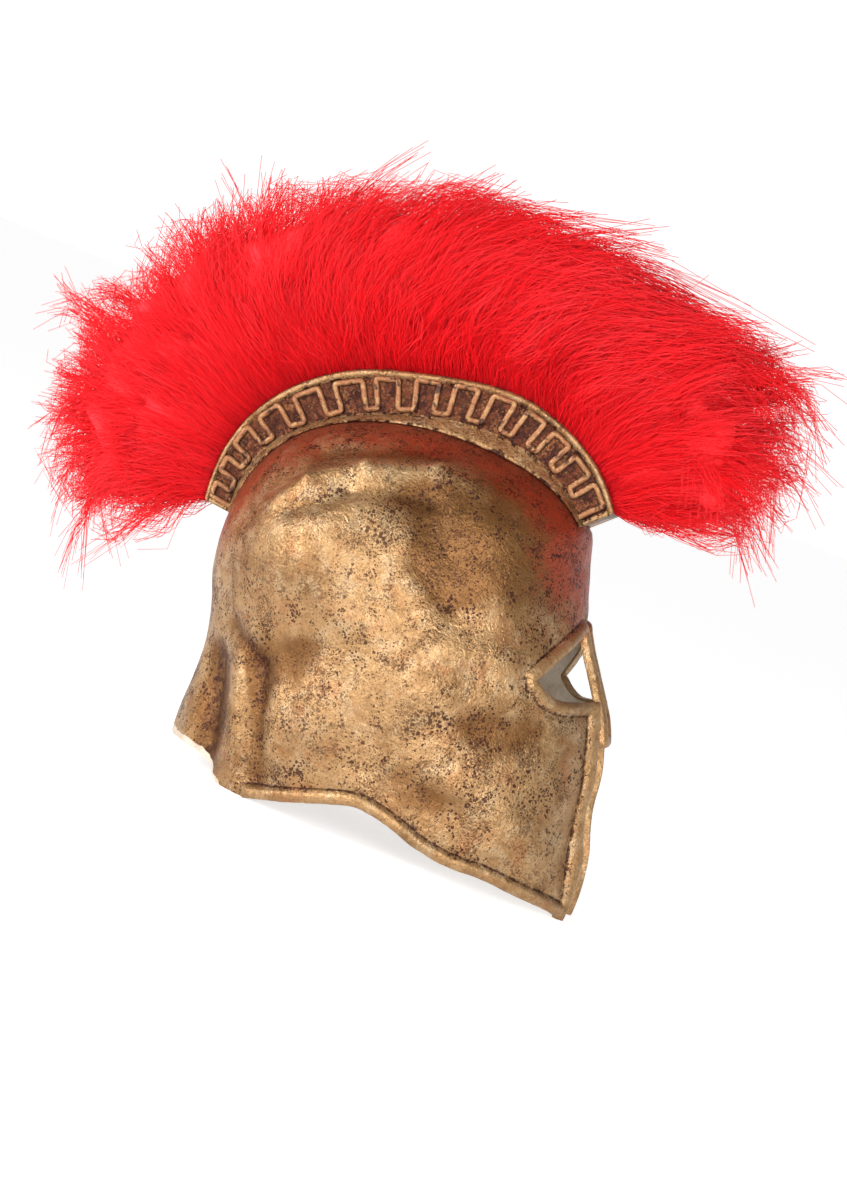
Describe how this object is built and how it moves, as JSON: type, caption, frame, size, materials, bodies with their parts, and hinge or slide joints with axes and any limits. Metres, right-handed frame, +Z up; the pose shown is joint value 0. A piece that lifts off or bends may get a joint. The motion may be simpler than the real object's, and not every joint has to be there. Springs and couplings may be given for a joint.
{
  "type": "roman helmet",
  "caption": "Crested costume helmet of moulded latex in antique bronze, with eye openings, nasal bar, cheek plates, key-pattern crest holder and a long red fur plume.",
  "frame": {"origin": "middle of the bounding box's base, on the surface the helmet stands on", "axes": "+Z up, -Y the way the face looks, +X the wearer's left, +Y from the face to the nape"},
  "size_m": [0.1965, 0.4516, 0.3794],
  "materials": {
    "antique_bronze_latex": "satin antique bronze paint on latex, speckled dark, raw cream latex inside",
    "bronze_latex_trim": "satin antique bronze paint on latex, with a copper line on dark recesses",
    "red_fur": "long glossy red fake fur"
  },
  "bodies": {
    "root": {"helmet_shell": "antique_bronze_latex", "crest_holder": "bronze_latex_trim", "plume": "red_fur"}
  },
  "joints": []
}
